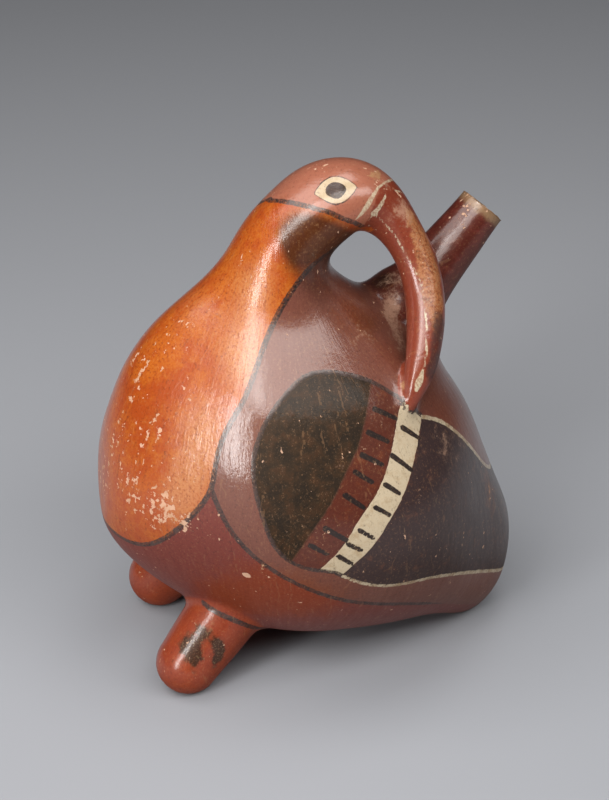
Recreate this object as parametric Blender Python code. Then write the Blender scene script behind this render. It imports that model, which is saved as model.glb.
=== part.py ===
"""Single spout effigy vessel: a long-billed bird in fired clay.

The bird rests on two nub feet and the underside of its tail. Its neck rises from the front of
the egg-shaped body, the head is turned right round to look along the back, and the bill comes
down over the left shoulder and touches the back, so that it makes a loop with the neck. The
spout leans out of the back towards the tail.

Frame: +X to the tail, +Y to the bird's right, +Z up. The origin is at floor level, under the
middle of the body. Every dimension is in millimetres and is turned to metres at the end.
"""

import bpy
import bmesh
import numpy as np

METRES = 0.001

# Body: a loft of rings across X. Each station is (x, underside z, back z, half width).
BREAST_POINT = (-76.5, 65.0)
TAIL_POINT = (76.5, 33.0)
BODY_STATIONS = (
    (-66.0, 42.0, 112.0, 27.0),
    (-47.0, 24.5, 129.0, 41.0),
    (-22.0, 12.0, 132.0, 56.0),
    (3.0, 8.5, 131.0, 60.5),
    (28.0, 6.0, 127.0, 54.0),
    (45.0, 3.0, 109.0, 41.5),
    (60.5, -1.0, 80.5, 25.5),
    (71.0, 8.5, 54.0, 15.0),
)
BREAST_ROUNDNESS = (73.0, 55.0)
TAIL_ROUNDNESS = (68.0, 39.0)
BACK_FULLNESS = 2.05
KEEL_FULLNESS = 1.85

# Shoulders: flat rings that carry the breast up to the neck. Each station is
# (z, front x, back x, half width).
SHOULDER_STATIONS = (
    (70.0, -74.0, 58.0, 56.0),
    (78.0, -75.0, 58.0, 56.5),
    (92.0, -73.0, 53.0, 54.5),
    (106.0, -68.8, 46.0, 49.0),
    (119.0, -63.0, 37.5, 41.0),
    (130.0, -55.0, 27.0, 31.5),
    (140.0, -44.5, 17.0, 23.5),
    (148.0, -34.5, 10.5, 19.0),
    (156.0, -26.5, 7.5, 17.5),
)
SHOULDER_PINCH = 0.115

# Clay smoothed up against the limbs: (centre, direction of the swell, height, spread).
SWELLS = (
    ((8.0, 0.0, 131.0), (0.0, 0.0, 1.0), 7.0, 17.0),
    ((36.0, 6.0, 126.0), (0.5, 0.1, 0.75), 8.0, 12.0),
    ((25.0, -36.0, 113.0), (-0.3, -0.5, 0.8), 4.5, 6.0),
)

# Neck, head and bill: one tapering sweep. Each station is (x, y, z, radius in the bend,
# radius across it). The bill turns over to the left, and its tip meets the back.
NECK_STATIONS = (
    (-15.0, 0.0, 126.0, 17.0, 17.0),
    (-13.5, 0.0, 142.0, 18.0, 18.0),
    (-9.7, 0.0, 156.5, 16.8, 17.8),
    (-2.3, 0.0, 167.8, 15.2, 17.0),
    (7.0, 0.0, 173.2, 13.6, 16.5),
    (16.3, -1.0, 173.8, 12.2, 14.0),
    (23.8, -2.5, 170.0, 9.9, 10.8),
    (30.2, -6.0, 162.5, 7.6, 8.3),
    (34.8, -12.0, 152.0, 6.8, 6.9),
    (35.8, -19.0, 141.0, 6.7, 6.6),
    (33.8, -26.0, 131.5, 6.3, 6.2),
    (31.0, -31.5, 123.5, 5.4, 5.2),
    (27.5, -35.5, 116.0, 3.7, 3.7),
    (26.0, -37.0, 112.5, 2.6, 2.6),
)
HEAD_STATIONS = slice(0, 6)

# Spout: a short tube that leans to the tail and a little to the bird's right.
SPOUT_STATIONS = (
    (30.0, 5.0, 116.0, 14.0, 14.0),
    (37.0, 6.5, 128.0, 14.5, 14.5),
    (41.5, 7.5, 132.6, 11.9, 11.9),
    (47.5, 8.8, 139.0, 10.4, 10.4),
    (65.8, 12.8, 158.6, 8.8, 8.8),
)
SPOUT_BORE_RADIUS = 5.4
SPOUT_MOUTH_OVERRUN = 4.0

# Feet: solid nubs that lean forward, one on each side.
FOOT_ROOT = (-30.0, 20.0, 34.0)
FOOT_TIP = (-52.0, 28.0, 10.6)
FOOT_ROOT_RADIUS = 14.0
FOOT_TIP_RADIUS = 11.4

# Walls. The shoulder's is measured level, so it is thinner square to its slope.
WALL = 5.0
SHOULDER_WALL = 6.5
NECK_WALL = 4.5

# Mesh sizes: the clay is fused on voxels this wide, softened, and thinned to this share.
CLAY_VOXEL = 1.8
CLAY_SOFTENING = 4
CLAY_SHARE = 0.10
CAVITY_VOXEL = 2.4
CAVITY_SOFTENING = 2
CAVITY_SHARE = 0.075

FIRED_CLAY_COLOUR = (0.29, 0.085, 0.035, 1.0)
FIRED_CLAY_ROUGHNESS = 0.42


def spline(knots, values, at):
    """Natural cubic spline through the rows of values, read at the places in at."""
    knots = np.asarray(knots, float)
    values = np.asarray(values, float).reshape(len(knots), -1)
    step = np.diff(knots)
    system = np.eye(len(knots))
    bend = np.zeros_like(values)
    for i in range(1, len(knots) - 1):
        system[i, i - 1:i + 2] = step[i - 1], 2 * (step[i - 1] + step[i]), step[i]
        slope_after = (values[i + 1] - values[i]) / step[i]
        slope_before = (values[i] - values[i - 1]) / step[i - 1]
        bend[i] = 6 * (slope_after - slope_before)
    second = np.linalg.solve(system, bend)
    span = np.clip(np.searchsorted(knots, at, side="right") - 1, 0, len(knots) - 2)
    t = (at - knots[span])[:, None]
    h = step[span][:, None]
    rise = (values[span + 1] - values[span]) / h - h * (2 * second[span] + second[span + 1]) / 6
    cubic = (second[span + 1] - second[span]) / (6 * h)
    return values[span] + rise * t + second[span] / 2 * t**2 + cubic * t**3


def superellipse(angles, fullness):
    """Cosine and sine of the angles, pushed out to a fuller or leaner round."""
    def shaped(wave):
        return np.sign(wave) * np.abs(wave) ** (2 / fullness)
    return shaped(np.cos(angles)), shaped(np.sin(angles))


def swell(points, centre, direction, height, spread):
    """Points pushed along direction, most at the centre and less with distance from it."""
    distance = np.linalg.norm(points - np.array(centre), axis=-1)
    push = height * np.exp(-((distance / spread) ** 2) / 2)
    return points + push[..., None] * np.array(direction)


def body_rings(ring_count, side_count):
    """Rings of the egg from the breast to the tail: x runs as a cosine, so both ends close."""
    middle = (BREAST_POINT[0] + TAIL_POINT[0]) / 2
    reach = (TAIL_POINT[0] - BREAST_POINT[0]) / 2
    x, under, back, width = np.array(BODY_STATIONS).T
    knots = np.arccos((middle - x) / reach)
    at_knots = np.sin(knots)
    heights = (back - under) / 2 / at_knots
    all_knots = np.concatenate([[0], knots, [np.pi]])
    half_height = np.concatenate([[BREAST_ROUNDNESS[0]], heights, [TAIL_ROUNDNESS[0]]])
    half_width = np.concatenate([[BREAST_ROUNDNESS[1]], width / at_knots, [TAIL_ROUNDNESS[1]]])
    centre = np.concatenate([[BREAST_POINT[1]], (back + under) / 2, [TAIL_POINT[1]]])
    t = np.linspace(0, np.pi, ring_count)
    shape = spline(all_knots, np.stack([half_height, half_width, centre], axis=1), t)
    angles = np.linspace(0, 2 * np.pi, side_count, endpoint=False)
    fullness = np.where(np.sin(angles) > 0, BACK_FULLNESS, KEEL_FULLNESS)
    across, up = superellipse(angles, fullness)
    size = np.sin(t)[:, None]
    rings = np.empty((ring_count, side_count, 3))
    rings[..., 0] = (middle - reach * np.cos(t))[:, None]
    rings[..., 1] = size * shape[:, 1:2] * across
    rings[..., 2] = shape[:, 2:3] + size * shape[:, 0:1] * up
    for place in SWELLS:
        rings = swell(rings, *place)
    return rings


def shoulder_rings(ring_count, side_count, inset=0.0):
    """Level rings from inside the body up into the neck, each smaller all round by inset.

    The front half of each ring is slimmer than an ellipse by up to SHOULDER_PINCH.
    """
    z, front, back, width = np.array(SHOULDER_STATIONS).T
    at = np.linspace(z[0], z[-1], ring_count)
    read = spline(z, np.stack([(front + back) / 2, (back - front) / 2, width], axis=1), at)
    angles = np.linspace(0, 2 * np.pi, side_count, endpoint=False)
    slimmer = 1 - np.where(np.cos(angles) < 0, SHOULDER_PINCH * np.sin(2 * angles) ** 2, 0)
    rings = np.empty((ring_count, side_count, 3))
    rings[..., 0] = read[:, 0:1] + (read[:, 1:2] - inset) * slimmer * np.cos(angles)
    rings[..., 1] = (read[:, 2:3] - inset) * slimmer * np.sin(angles)
    rings[..., 2] = at[:, None]
    return rings


def sweep_rings(stations, ring_count, side_count):
    """Rings carried along a smooth path through the stations, square to the path."""
    stations = np.array(stations, float)
    gaps = np.linalg.norm(np.diff(stations[:, :3], axis=0), axis=1)
    knots = np.concatenate([[0], np.cumsum(gaps)])
    along = np.linspace(0, knots[-1], ring_count)
    read = spline(knots, stations, along)
    path = read[:, :3]
    forward = np.gradient(path, along, axis=0)
    forward /= np.linalg.norm(forward, axis=1)[:, None]
    across = np.array([0.0, 1.0, 0.0]) - forward * forward[:, 1:2]
    across /= np.linalg.norm(across, axis=1)[:, None]
    outward = np.cross(across, forward)
    angles = np.linspace(0, 2 * np.pi, side_count, endpoint=False)
    in_bend = read[:, 3, None, None] * np.cos(angles)[:, None] * outward[:, None, :]
    sideways = read[:, 4, None, None] * np.sin(angles)[:, None] * across[:, None, :]
    return path[:, None, :] + in_bend + sideways


def with_round_end(rings, reach, steps=5):
    """The rings with a dome of the given reach added past the last one."""
    centre = rings[-1].mean(axis=0)
    onward = centre - rings[-2].mean(axis=0)
    onward /= np.linalg.norm(onward)
    spokes = rings[-1] - centre
    turns = np.linspace(0, np.pi / 2, steps + 1)[1:, None, None]
    dome = centre + spokes * np.cos(turns) + onward * reach * np.sin(turns)
    return np.concatenate([rings, dome])


def foot_rings(side):
    """A nub that narrows towards its round tip. side is -1 for the left foot, 1 for the right."""
    root = np.array(FOOT_ROOT) * (1, side, 1)
    tip = np.array(FOOT_TIP) * (1, side, 1)
    stations = [
        (*root, FOOT_ROOT_RADIUS, FOOT_ROOT_RADIUS),
        (*(root + tip) / 2, *[(FOOT_ROOT_RADIUS + FOOT_TIP_RADIUS) / 2] * 2),
        (*tip, FOOT_TIP_RADIUS, FOOT_TIP_RADIUS),
    ]
    return with_round_end(sweep_rings(stations, 10, 20), FOOT_TIP_RADIUS)


def moved_in(rings, wall):
    """Body rings moved inwards, square to the surface, by the thickness of the wall."""
    along = np.gradient(rings, axis=0)
    around = np.roll(rings, -1, axis=1) - np.roll(rings, 1, axis=1)
    normal = np.cross(around, along)
    length = np.linalg.norm(normal, axis=-1, keepdims=True)
    pole = np.stack([[-1.0, 0.0, 0.0], [1.0, 0.0, 0.0]])[:, None, :]
    normal = np.divide(normal, length, out=np.zeros_like(normal), where=length > 1e-6)
    normal[[0, -1]] = pole
    outward = np.sign((normal * (rings - rings.mean(axis=(0, 1)))).sum())
    normal[1:-1] *= outward
    return rings - wall * normal


def add_shell(mesh, rings):
    """Adds one closed shell to a bmesh: the rings bridged in order, and both ends filled."""
    loops = []
    for ring in rings * METRES:
        loops.append([mesh.verts.new(point) for point in ring])
    count = len(loops[0])
    for near, far in zip(loops, loops[1:]):
        for i in range(count):
            j = (i + 1) % count
            mesh.faces.new((near[i], near[j], far[j], far[i]))
    mesh.faces.new(loops[0][::-1])
    mesh.faces.new(loops[-1])


def fused_clay(name, shells, voxel, softening, share):
    """One object from several shells: fused on voxels, softened at the joints and thinned."""
    mesh = bmesh.new()
    for rings in shells:
        add_shell(mesh, rings)
    bmesh.ops.remove_doubles(mesh, verts=mesh.verts, dist=0.00001)
    bmesh.ops.recalc_face_normals(mesh, faces=mesh.faces)
    data = bpy.data.meshes.new(name)
    mesh.to_mesh(data)
    mesh.free()
    data.shade_smooth()
    thing = bpy.data.objects.new(name, data)
    bpy.context.collection.objects.link(thing)
    fuse = thing.modifiers.new("fuse", "REMESH")
    fuse.mode = "VOXEL"
    fuse.voxel_size = voxel * METRES
    fuse.use_smooth_shade = True
    soften = thing.modifiers.new("soften", "SMOOTH")
    soften.iterations = softening
    thin = thing.modifiers.new("thin", "DECIMATE")
    thin.ratio = share
    return thing


def make_cutter(thing):
    """Keeps a cutting shape out of the finished model."""
    thing.hide_render = True
    thing.display_type = "WIRE"
    return thing


def bore_rings():
    """The spout's bore, from inside the body to past the mouth."""
    inner = np.array(SPOUT_STATIONS[0][:3])
    mouth = np.array(SPOUT_STATIONS[-1][:3])
    onward = mouth - np.array(SPOUT_STATIONS[-2][:3])
    onward /= np.linalg.norm(onward)
    stations = []
    for point in (inner, (inner + mouth) / 2, mouth, mouth + onward * SPOUT_MOUTH_OVERRUN):
        stations.append((*point, SPOUT_BORE_RADIUS, SPOUT_BORE_RADIUS))
    return sweep_rings(stations, 12, 20)


def cavity():
    """The hollow inside: body, shoulders, neck and head, and the bore that opens the spout."""
    throat = np.array(NECK_STATIONS[HEAD_STATIONS]) - (0, 0, 0, NECK_WALL, NECK_WALL)
    shells = [
        moved_in(body_rings(33, 32), WALL),
        shoulder_rings(16, 32, SHOULDER_WALL),
        with_round_end(sweep_rings(throat, 24, 20), throat[-1][3]),
        bore_rings(),
    ]
    return make_cutter(
        fused_clay("cavity", shells, CAVITY_VOXEL, CAVITY_SOFTENING, CAVITY_SHARE)
    )


def ground():
    """A block with its top at floor level, which leaves a flat spot under each foot and tail."""
    mesh = bmesh.new()
    bmesh.ops.create_cube(mesh, size=1.0)
    bmesh.ops.scale(mesh, vec=(0.3, 0.3, 0.05), verts=mesh.verts)
    bmesh.ops.translate(mesh, vec=(0, 0, -0.025), verts=mesh.verts)
    data = bpy.data.meshes.new("ground")
    mesh.to_mesh(data)
    mesh.free()
    thing = bpy.data.objects.new("ground", data)
    bpy.context.collection.objects.link(thing)
    return make_cutter(thing)


def cut_away(thing, cutter):
    """Cuts the cutter's shape from the object."""
    cut = thing.modifiers.new("cut " + cutter.name, "BOOLEAN")
    cut.operation = "DIFFERENCE"
    cut.solver = "EXACT"
    cut.object = cutter


def fired_clay():
    """Burnished, slip-painted earthenware, as one plain colour."""
    material = bpy.data.materials.new("burnished slip earthenware")
    material.use_nodes = True
    shader = material.node_tree.nodes["Principled BSDF"]
    shader.inputs["Base Color"].default_value = FIRED_CLAY_COLOUR
    shader.inputs["Roughness"].default_value = FIRED_CLAY_ROUGHNESS
    shader.inputs["Metallic"].default_value = 0.0
    return material


def vessel():
    """The whole bird, as one piece of clay with its hollow cut out."""
    bird = with_round_end(sweep_rings(NECK_STATIONS, 72, 24), NECK_STATIONS[-1][3])
    shells = [
        body_rings(61, 56),
        shoulder_rings(24, 48),
        bird,
        sweep_rings(SPOUT_STATIONS, 24, 28),
        foot_rings(-1),
        foot_rings(1),
    ]
    thing = fused_clay("vessel", shells, CLAY_VOXEL, CLAY_SOFTENING, CLAY_SHARE)
    cut_away(thing, cavity())
    cut_away(thing, ground())
    thing.data.materials.append(fired_clay())
    return thing


def clear_scene():
    """Removes whatever the scene holds."""
    for thing in list(bpy.data.objects):
        bpy.data.objects.remove(thing, do_unlink=True)


clear_scene()
vessel()
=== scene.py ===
import math
import time

import bmesh
import bpy
import numpy as np
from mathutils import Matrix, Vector


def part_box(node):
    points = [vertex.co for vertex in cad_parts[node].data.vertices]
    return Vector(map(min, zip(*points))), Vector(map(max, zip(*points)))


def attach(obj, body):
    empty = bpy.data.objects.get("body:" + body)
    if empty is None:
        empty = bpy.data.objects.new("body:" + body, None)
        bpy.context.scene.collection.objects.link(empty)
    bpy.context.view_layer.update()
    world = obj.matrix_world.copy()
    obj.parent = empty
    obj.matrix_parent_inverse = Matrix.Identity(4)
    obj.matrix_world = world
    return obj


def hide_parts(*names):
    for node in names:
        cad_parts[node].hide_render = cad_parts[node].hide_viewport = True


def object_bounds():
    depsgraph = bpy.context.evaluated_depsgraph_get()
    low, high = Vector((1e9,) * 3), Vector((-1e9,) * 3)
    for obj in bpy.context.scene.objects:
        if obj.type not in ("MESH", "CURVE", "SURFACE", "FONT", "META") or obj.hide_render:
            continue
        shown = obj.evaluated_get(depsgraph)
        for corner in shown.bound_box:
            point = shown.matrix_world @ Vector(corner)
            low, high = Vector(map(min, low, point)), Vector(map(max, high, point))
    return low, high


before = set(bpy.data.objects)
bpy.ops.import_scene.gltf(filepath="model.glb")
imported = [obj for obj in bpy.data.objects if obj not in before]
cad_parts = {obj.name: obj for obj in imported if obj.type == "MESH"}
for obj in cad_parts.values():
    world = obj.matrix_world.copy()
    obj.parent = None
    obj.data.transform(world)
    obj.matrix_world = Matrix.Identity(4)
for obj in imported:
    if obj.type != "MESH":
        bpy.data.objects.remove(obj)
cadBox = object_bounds()
startedAt = time.time()


def report(words):
    print(f"[{time.time() - startedAt:5.1f} s] {words}", flush=True)


# All forms below are written in the vessel's own millimetres: +X to the tail, +Y to the bird's
# right, +Z up, with the floor at z = 0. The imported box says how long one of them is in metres.
vesselSize = {"height": 186.8}
lowCorner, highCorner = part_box("vessel")
mm = (highCorner[2] - lowCorner[2]) / vesselSize["height"]
origin = np.array([
    (lowCorner[0] + highCorner[0]) / 2 / mm,
    (lowCorner[1] + highCorner[1]) / 2 / mm,
    lowCorner[2] / mm,
])


bodyForm = {
    "breastPoint": (-76.5, 65.0),  # x, z
    "tailPoint": (76.5, 33.0),
    # x, underside z, back z, half width
    "stations": (
        (-66.0, 42.0, 112.0, 27.0), (-47.0, 24.5, 129.0, 41.0),
        (-22.0, 12.0, 132.0, 56.0), (3.0, 8.5, 131.0, 60.5),
        (28.0, 6.0, 127.0, 54.0), (45.0, 3.0, 109.0, 41.5),
        (60.5, -1.0, 80.5, 25.5), (71.0, 8.5, 54.0, 15.0),
    ),
    "breastRoundness": (73.0, 55.0),
    "tailRoundness": (68.0, 39.0),
    "backFullness": 2.05,
    "keelFullness": 1.85,
    "sections": 900,        # sections read for its distance
    "endSections": 30,      # of these, left out at each end
    "endSlope": 17.0,       # how fast the distance grows past them
}

# z, front x, back x, half width
shoulderForm = {
    "stations": (
        (50.0, -74.0, 70.0, 59.5), (64.0, -76.5, 67.0, 60.0),
        (78.0, -76.0, 62.5, 58.5), (92.0, -73.5, 55.5, 55.0),
        (106.0, -69.0, 47.0, 49.0), (119.0, -63.0, 38.5, 41.0),
        (130.0, -55.0, 26.0, 31.5), (140.0, -44.5, 14.5, 23.5),
        (148.0, -34.5, 6.3, 18.5), (156.0, -25.5, 1.0, 14.0),
        (166.0, -16.0, -6.0, 6.0),
    ),
    "pinch": 0.115,         # share by which the breast is slimmer than an ellipse
    "from": 56.0,           # height where the body starts to give way to the shoulders
    "to": 110.0,            # height where only the shoulders are left
}

# x, y, z, radius in the bend, radius across it
birdForm = {
    "stations": (
        (-15.0, 0.0, 126.0, 16.5, 17.0), (-14.2, 0.0, 142.0, 17.3, 18.0),
        (-10.3, 0.0, 156.0, 15.9, 17.6), (-2.4, 0.0, 166.8, 14.3, 16.8),
        (7.0, 0.0, 173.0, 13.5, 16.3), (16.3, -1.0, 173.8, 12.2, 14.0),
        (23.8, -2.5, 170.0, 9.9, 10.8), (30.2, -6.0, 162.5, 7.6, 8.3),
        (34.8, -12.0, 152.0, 6.8, 6.9), (35.8, -19.0, 141.0, 6.7, 6.6),
        (33.8, -26.0, 131.5, 6.3, 6.2), (31.0, -31.5, 123.5, 5.4, 5.2),
        (27.5, -35.5, 116.0, 3.7, 3.7), (26.0, -37.0, 112.5, 2.6, 2.6),
    ),
    "headStations": 6,
    "samples": 280,
    "fillets": (8.0, 8.0, 8.0, 8.0, 8.0, 7.0, 6.0, 6.0, 6.0, 6.0, 6.0, 6.0, 6.0, 5.0),
}

spoutForm = {
    "stations": (
        (30.0, 5.0, 116.0, 14.0, 14.0), (37.0, 6.5, 128.0, 14.5, 14.5),
        (41.5, 7.5, 132.6, 11.9, 11.9), (47.5, 8.8, 139.0, 10.4, 10.4),
        (65.8, 12.8, 158.4, 8.5, 8.5),
    ),
    "boreRadius": 5.4,
    "lipFlare": 1.7,
    "lipDepth": 2.6,
    "boreOverrun": 4.0,
    "boreSides": 56,
    "lipRings": 12,
    "fillet": 12.0,
    "samples": 90,
}

footForm = {
    "root": (-30.0, 20.0, 34.0),
    "tip": (-52.0, 28.0, 10.6),
    "rootRadius": 14.0,
    "tipRadius": 11.4,
    "fillet": 5.0,
    "samples": 60,
}

clay = {
    "wall": 5.0,
    "shoulderWall": 6.5,
    "neckWall": 4.5,
    "throatSamples": 80,
    "roughVoxel": 1.8,
    "voxel": 1.13,
    "cavityVoxel": 2.6,
    "seamFillet": 5.0,
    "polish": 12,           # light smoothing steps all over
    "smoothing": 0.5,       # share of the way in each step
    "regrowth": 0.53,       # and of the step back
    "cavityPolish": 3,
    # steps in which the fused shells settle onto the exact forms
    "roughSteps": 3,
    "outerSteps": 2,
    "cavitySteps": 4,
    "weld": 0.01,           # mm below which points are one
    "waver": 0.25,          # how far the hand-built wall strays, in mm
    # its slow waves: share, mm for one radian along x, y and z, start
    "waves": (
        (1.0, (9.1, 0, 14.0), 0.0), (1.0, (-17.0, 8.3, 0), 1.3), (1.0, (0, 12.0, 7.7), 2.1),
        (0.6, (4.9, 4.9, 5.7), 0.0),
    ),
    # rings and sides of the shells that are fused
    "bodyGrid": (120, 130),
    "shoulderGrid": (40, 110),
    "birdGrid": (140, 48),
    "spoutGrid": (45, 48),
    "footGrid": (30, 60),
    "hollowBodyGrid": (60, 60),
    "hollowShoulderGrid": (24, 48),
    "throatGrid": (40, 32),
}

pointsAtOnce = 20000        # in the searches that compare every point with every sample
flattest = 0.05             # the least squared slope that a point follows as it settles


# Natural cubic spline: piecewise cubics that meet with equal slope and bend, flat at both ends.
def splineThrough(knots, values, at):
    knots = np.asarray(knots, float)
    values = np.asarray(values, float).reshape(len(knots), -1)
    step = np.diff(knots)
    system = np.eye(len(knots))
    bend = np.zeros_like(values)
    slope = np.diff(values, axis=0) / step[:, None]
    for i in range(1, len(knots) - 1):
        system[i, i - 1:i + 2] = step[i - 1], 2 * (step[i - 1] + step[i]), step[i]
        bend[i] = 6 * (slope[i] - slope[i - 1])
    second = np.linalg.solve(system, bend)
    span = np.clip(np.searchsorted(knots, at, side="right") - 1, 0, len(knots) - 2)
    t = (at - knots[span])[:, None]
    h = step[span][:, None]
    here, onward = second[span], second[span + 1]
    rise = (values[span + 1] - values[span]) / h - h * (2 * here + onward) / 6
    return values[span] + rise * t + here / 2 * t**2 + (onward - here) / (6 * h) * t**3


# Smooth step: 0 below low, 1 above high, and 3 t squared less 2 t cubed between.
def softStep(value, low, high):
    t = np.clip((value - low) / (high - low), 0, 1)
    return t * t * (3 - 2 * t)


def unit(vectors):
    return vectors / np.linalg.norm(vectors, axis=-1, keepdims=True)


def ringAngles(count):
    return np.linspace(0, 2 * np.pi, count, endpoint=False)


# Superellipse: cosine and sine, each to the power 2 / fullness with its sign kept.
def superellipse(angles, fullness):
    c, s = np.cos(angles), np.sin(angles)
    return np.sign(c) * np.abs(c) ** (2 / fullness), np.sign(s) * np.abs(s) ** (2 / fullness)


# Body: x = middle - reach cos t; at each x a superellipse whose half height and half width are
# sin t times a spline of t, so that the breast and the tail close in round ends.
def bodySurface(rings, sides, inset=0.0):
    form = bodyForm
    middle = (form["breastPoint"][0] + form["tailPoint"][0]) / 2
    reach = (form["tailPoint"][0] - form["breastPoint"][0]) / 2
    x, under, back, width = np.array(form["stations"]).T
    knots = np.arccos((middle - x) / reach)
    wave = np.sin(knots)
    breast, tail = form["breastRoundness"], form["tailRoundness"]
    halfHeight = np.r_[breast[0], (back - under) / 2 / wave, tail[0]]
    halfWidth = np.r_[breast[1], width / wave, tail[1]]
    centre = np.r_[form["breastPoint"][1], (back + under) / 2, form["tailPoint"][1]]
    t = np.linspace(0, np.pi, rings)
    shape = splineThrough(np.r_[0, knots, np.pi], np.c_[halfHeight, halfWidth, centre], t)
    angles = ringAngles(sides)
    fullness = np.where(np.sin(angles) > 0, form["backFullness"], form["keelFullness"])
    across, up = superellipse(angles, fullness)
    size = np.sin(t)[:, None]
    surface = np.empty((rings, sides, 3))
    surface[..., 0] = (middle - reach * np.cos(t))[:, None]
    surface[..., 1] = size * shape[:, 1:2] * across
    surface[..., 2] = shape[:, 2:3] + size * shape[:, 0:1] * up
    return movedIn(surface, inset) if inset else surface


# Each point moved against its normal, the cross product of the steps along and around.
def movedIn(surface, wall):
    along = np.gradient(surface, axis=0)
    around = np.roll(surface, -1, axis=1) - np.roll(surface, 1, axis=1)
    normal = np.cross(around, along)
    length = np.linalg.norm(normal, axis=-1, keepdims=True)
    normal = np.divide(normal, length, out=np.zeros_like(normal), where=length > 1e-6)
    normal[1:-1] *= np.sign((normal * (surface - surface.mean(axis=(0, 1))))[1:-1].sum())
    normal[0], normal[-1] = (-1, 0, 0), (1, 0, 0)
    return surface - wall * normal


# Shoulders: level ellipses between a front and a back edge, both splines of height.
def shoulderSurface(rings, sides, inset=0.0):
    z, front, back, width = np.array(shoulderForm["stations"]).T
    at = np.linspace(z[0], z[-1], rings)
    read = splineThrough(z, np.c_[(front + back) / 2, (back - front) / 2, width], at)
    angles = ringAngles(sides)
    surface = np.empty((rings, sides, 3))
    surface[..., 0] = read[:, 0:1] + (read[:, 1:2] - inset) * np.cos(angles)
    surface[..., 1] = (read[:, 2:3] - inset) * np.sin(angles)
    surface[..., 2] = at[:, None]
    return surface


# Length along a line of points up to each of them.
def lengthAlong(points):
    return np.r_[0, np.cumsum(np.linalg.norm(np.diff(points, axis=0), axis=1))]


# The two axes of a ring: one level across the way forward, the other square to both.
def ringAxes(forward):
    across = unit(np.array([0.0, 1.0, 0.0]) - forward * forward[..., 1:2])
    return across, np.cross(across, forward)


# Path and frame of a sweep: a spline of x, y, z and two radii over the length of the path.
def sweepPath(stations, rings):
    stations = np.array(stations, float)
    knots = lengthAlong(stations[:, :3])
    along = np.linspace(0, knots[-1], rings)
    read = splineThrough(knots, stations, along)
    forward = unit(np.gradient(read[:, :3], along, axis=0))
    return read[:, :3], read[:, 3:], forward, *ringAxes(forward)


# Rings: path + radius in the bend x cos a x outward + radius across x sin a x across.
def ringsAlong(path, radii, across, outward, sides):
    angles = ringAngles(sides)[:, None]
    inBend = radii[:, 0, None, None] * np.cos(angles) * outward[..., None, :]
    sideways = radii[:, 1, None, None] * np.sin(angles) * across[..., None, :]
    return path[:, None, :] + inBend + sideways


def sweepSurface(stations, rings, sides):
    path, radii, _, across, outward = sweepPath(stations, rings)
    return ringsAlong(path, radii, across, outward, sides)


# The last ring closed by a quarter turn of an ellipse with the given reach.
def roundEnd(surface, reach, steps=10):
    centre = surface[-1].mean(axis=0)
    onward = unit(centre - surface[-2].mean(axis=0))
    turns = np.linspace(0, np.pi / 2, steps + 1)[1:, None, None]
    dome = centre + (surface[-1] - centre) * np.cos(turns) + onward * reach * np.sin(turns)
    return np.concatenate([surface, dome])


def footStations(side):
    root = np.array(footForm["root"]) * (1, side, 1)
    tip = np.array(footForm["tip"]) * (1, side, 1)
    r, s = footForm["rootRadius"], footForm["tipRadius"]
    return [(*root, r, r), (*(root + tip) / 2, (r + s) / 2, (r + s) / 2), (*tip, s, s)]


def footSurface(side):
    return roundEnd(sweepSurface(footStations(side), *clay["footGrid"]), footForm["tipRadius"])


# Grids to one mesh: four corners of each cell make a face, and each end ring is one face.
def meshFromSurfaces(name, surfaces):
    points, faces, start = [], [], 0
    for surface in surfaces:
        rings, sides = surface.shape[:2]
        index = start + np.arange(rings * sides).reshape(rings, sides)
        nextSide = np.roll(index, -1, axis=1)
        cells = np.stack([index[:-1], nextSide[:-1], nextSide[1:], index[1:]], axis=-1)
        faces += cells.reshape(-1, 4).tolist() + [index[0, ::-1].tolist(), index[-1].tolist()]
        points.append(surface.reshape(-1, 3))
        start += rings * sides
    mesh = bpy.data.meshes.new(name)
    mesh.from_pydata((np.concatenate(points) * mm).tolist(), [], faces)
    return mesh


def newObject(name, mesh):
    thing = bpy.data.objects.new(name, mesh)
    bpy.context.collection.objects.link(thing)
    return thing


def readArray(items, key, width, kind=np.float32):
    flat = np.empty(len(items) * width, kind)
    items.foreach_get(key, flat)
    return flat.reshape(-1, width).astype(float if kind is np.float32 else int)


def readNormals(mesh):
    return readArray(mesh.vertex_normals, "vector", 3)


# Points as an array in vessel millimetres, and back again.
def readPoints(mesh):
    return readArray(mesh.vertices, "co", 3) / mm


def writePoints(mesh, points):
    mesh.vertices.foreach_set("co", (points * mm).astype(np.float32).ravel())
    mesh.update()


# The mesh that an object has once its modifiers are applied; the object itself goes.
def bakedMesh(thing):
    finished = thing.evaluated_get(bpy.context.evaluated_depsgraph_get())
    result = bpy.data.meshes.new_from_object(finished)
    bpy.data.objects.remove(thing, do_unlink=True)
    return result


def recalculateNormals(mesh):
    work = bmesh.new()
    work.from_mesh(mesh)
    bmesh.ops.remove_doubles(work, verts=work.verts, dist=clay["weld"] * mm)
    bmesh.ops.recalc_face_normals(work, faces=work.faces)
    work.to_mesh(mesh)
    work.free()


def remeshed(mesh, voxel):
    thing = newObject(mesh.name, mesh)
    fuse = thing.modifiers.new("fuse", "REMESH")
    fuse.mode = "VOXEL"
    fuse.voxel_size = voxel * mm
    return bakedMesh(thing)


def fusedMesh(name, surfaces, voxel):
    mesh = meshFromSurfaces(name, surfaces)
    recalculateNormals(mesh)
    return remeshed(mesh, voxel)


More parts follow.
